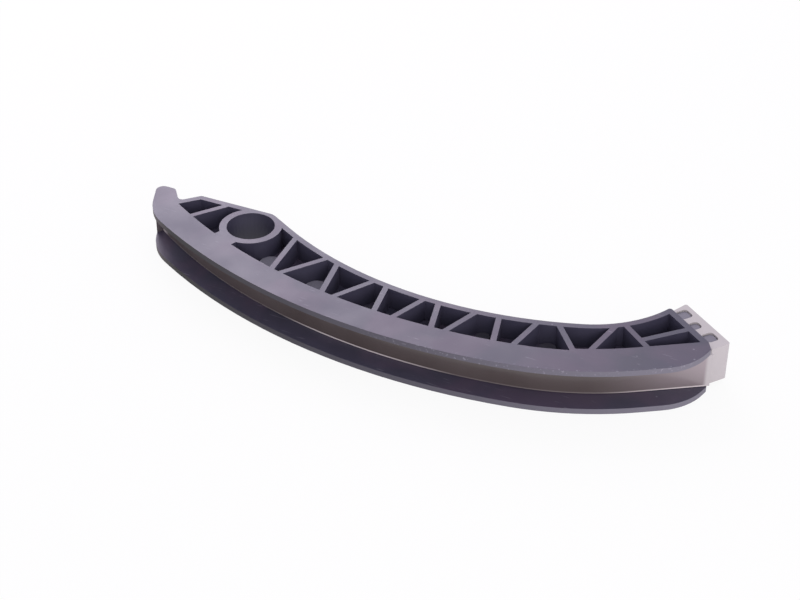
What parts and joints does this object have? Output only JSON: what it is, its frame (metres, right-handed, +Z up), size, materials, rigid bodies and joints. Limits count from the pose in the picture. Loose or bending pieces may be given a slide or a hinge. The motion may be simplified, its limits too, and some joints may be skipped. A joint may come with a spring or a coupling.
{
  "type": "timing chain guide",
  "caption": "Curved ribbed plastic guide with a pivot bore, a channel that a timing chain runs along, and a pale sliding lining keyed in at one end.",
  "frame": {"origin": "middle of the bounding box in plan, on the side face that the guide lies on", "axes": "+X along the guide from the bore end to the block end, +Y from the chain side towards the hollow back, +Z up across the guide's width"},
  "size_m": [0.253, 0.0734, 0.02],
  "materials": {
    "carrier": "moulded, slightly glossy",
    "lining": "moulded, smooth"
  },
  "bodies": {
    "root": {"carrier": "carrier", "lining": "lining"}
  },
  "joints": []
}
